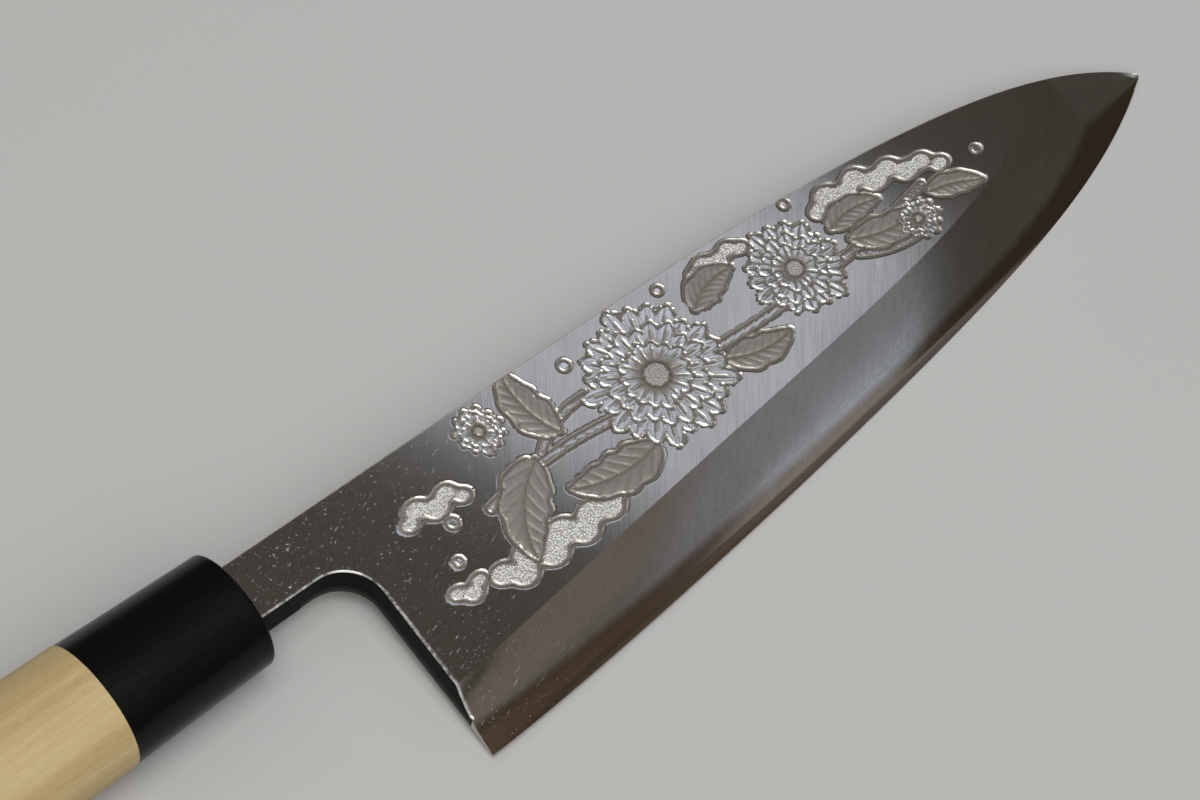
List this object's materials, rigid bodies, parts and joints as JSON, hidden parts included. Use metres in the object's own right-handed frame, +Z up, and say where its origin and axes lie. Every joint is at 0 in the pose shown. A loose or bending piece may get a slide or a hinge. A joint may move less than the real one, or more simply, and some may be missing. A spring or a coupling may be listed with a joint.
{
  "type": "deba knife",
  "caption": "Single-bevel fish knife with a thick laminated blade, engraved front face, hollow-ground flat back, black collar and oval wooden grip, lying on its back.",
  "frame": {"origin": "bottom centre of the whole knife's box, as the knife lies on its flat back on a table", "axes": "+X along the knife towards the tip, +Y towards the spine's side, +Z up, out of the front face; the table is z = 0"},
  "size_m": [0.3756, 0.0663, 0.027],
  "materials": {
    "soft_iron": "ground across the blade, engraved and darkened on the front face, forge scale on the neck's underside",
    "hard_steel": "fine ground, brighter than the iron",
    "collar": "black, satin to gloss, rounded front rim",
    "grip_wood": "bare pale magnolia-type wood, fine straight grain",
    "resin": "dark amber sealing resin"
  },
  "bodies": {
    "root": {"blade_iron": "soft_iron", "edge_steel": "hard_steel", "ferrule": "collar", "handle": "grip_wood", "tang_bedding": "resin", "mouth_seal": "resin"}
  },
  "joints": []
}
